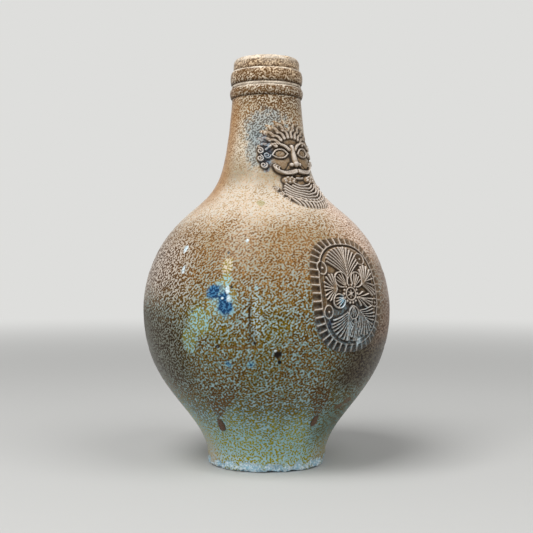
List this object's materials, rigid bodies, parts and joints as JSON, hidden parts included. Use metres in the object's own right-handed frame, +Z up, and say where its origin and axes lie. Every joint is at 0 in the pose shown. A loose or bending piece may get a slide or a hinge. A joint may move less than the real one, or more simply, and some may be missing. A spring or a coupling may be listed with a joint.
{
  "type": "bellarmine jug",
  "caption": "Round-bellied salt-glazed stoneware jug with a narrow ringed mouth, a bearded mask on the neck and an oval medallion on the belly, for storing and pouring liquid.",
  "frame": {"origin": "centre of the base, on the face that rests on the table", "axes": "+Z up along the axis of the thrown body, -Y the side that the mask and the medallion face, +Y the side of the handle stubs"},
  "size_m": [0.1344, 0.1363, 0.22],
  "materials": {
    "foot_glaze": "salt glaze, blue-grey with olive specks",
    "belly_glaze": "salt glaze, brown tiger mottle on blue-grey",
    "neck_glaze": "salt glaze, tan with pale speckle",
    "relief_glaze": "salt glaze, brown-grey with dark recesses and pale ridges",
    "broken_clay": "dry broken stoneware"
  },
  "bodies": {
    "root": {"foot": "foot_glaze", "belly": "belly_glaze", "neck": "neck_glaze", "mouth_collar": "neck_glaze", "face_mask": "relief_glaze", "belly_medallion": "relief_glaze", "upper_handle_stub": "broken_clay", "lower_handle_stub": "broken_clay"}
  },
  "joints": []
}
